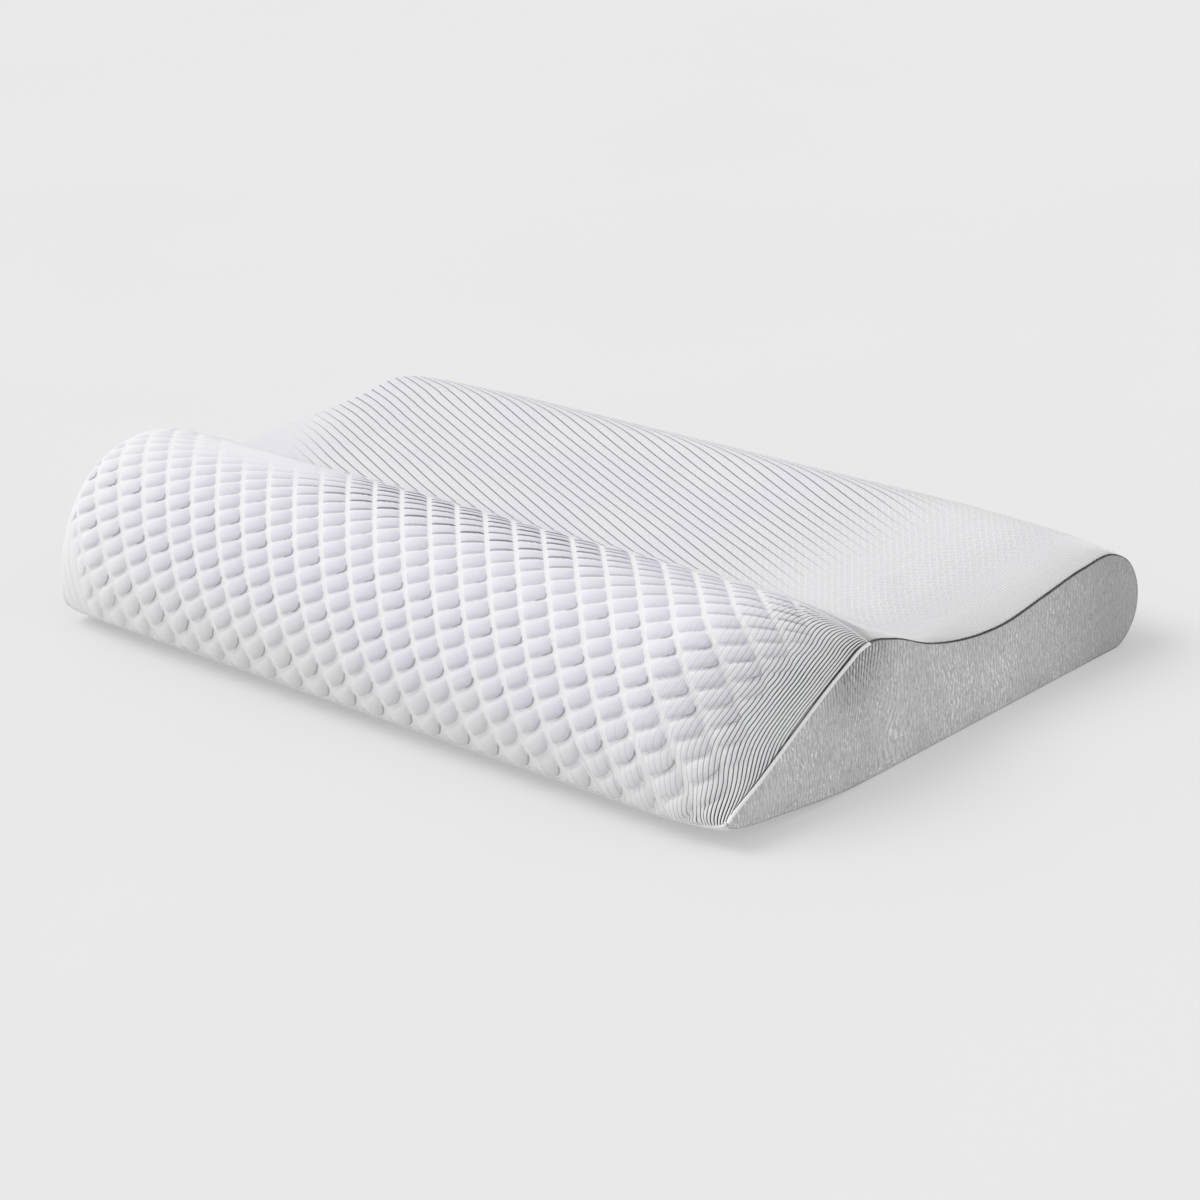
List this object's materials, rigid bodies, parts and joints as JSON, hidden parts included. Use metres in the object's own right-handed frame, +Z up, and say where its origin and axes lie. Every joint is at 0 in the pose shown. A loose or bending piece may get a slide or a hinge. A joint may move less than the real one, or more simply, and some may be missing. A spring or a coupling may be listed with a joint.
{
  "type": "bed pillow",
  "caption": "Contour foam bed pillow with a tall front lobe, neck valley and low back lobe, in a zipped knit cover with grey ends and white piping.",
  "frame": {"origin": "middle of the pillow's box at the height of its flat underside", "axes": "+X along the pillow's length, -Y towards the tall lobe, +Z up; the zip is on the +Y face"},
  "size_m": [0.6, 0.3962, 0.1172],
  "materials": {
    "foam": "open-cell memory foam, matt, off-white",
    "liner_knit": "thin plain knitted liner, white",
    "bubble_knit": "white double-knit jacquard with raised lozenge cells and fine ribs at the ends",
    "crest_knit": "white flat seam along the crest",
    "pinstripe_knit": "white knit with fine grey diagonal pinstripes and a plain border",
    "base_knit": "plain white knit underside",
    "white_binding": "white knitted piping and binding",
    "grey_knit": "heathered light grey knit",
    "grey_overlock": "dark grey overlocked seam edge",
    "satin_label": "blank white satin",
    "zip_tape": "white woven polyester zip tape",
    "zip_coil": "white nylon coil",
    "sewing_thread": "white polyester sewing thread",
    "zip_metal": "satin nickel-plated zinc"
  },
  "bodies": {
    "pillow": {"foam_core": "foam", "liner_sleeve": "liner_knit", "liner_left_end": "liner_knit", "liner_right_end": "liner_knit", "front_panel": "bubble_knit", "crest_seam": "crest_knit", "top_panel": "pinstripe_knit", "bottom_panel": "base_knit", "toe_binding": "white_binding", "left_end_panel": "grey_knit", "right_end_panel": "grey_knit", "left_piping": "white_binding", "right_piping": "white_binding", "left_end_seam": "grey_overlock", "right_end_seam": "grey_overlock", "care_label": "satin_label", "zip_tape_upper": "zip_tape", "zip_tape_lower": "zip_tape", "zip_coil_upper": "zip_coil", "zip_coil_lower": "zip_coil", "zip_thread_upper": "sewing_thread", "zip_thread_lower": "sewing_thread", "zip_top_stops": "zip_metal", "zip_bottom_stop": "zip_metal"},
    "slider": {"zip_slider": "zip_metal"},
    "pull_tab": {"zip_pull_tab": "zip_metal"}
  },
  "joints": [
    {"name": "slider_travel", "type": "slide", "parent": "pillow", "child": "slider", "axis": [-1, 0, 0], "range_m": [0, 0.4392]},
    {"name": "pull_tab_swing", "type": "hinge", "parent": "slider", "child": "pull_tab", "pos_m": [0.2196, 0.1961, 0.035], "axis": [0, 0, -1], "range_deg": [0, 175]}
  ]
}
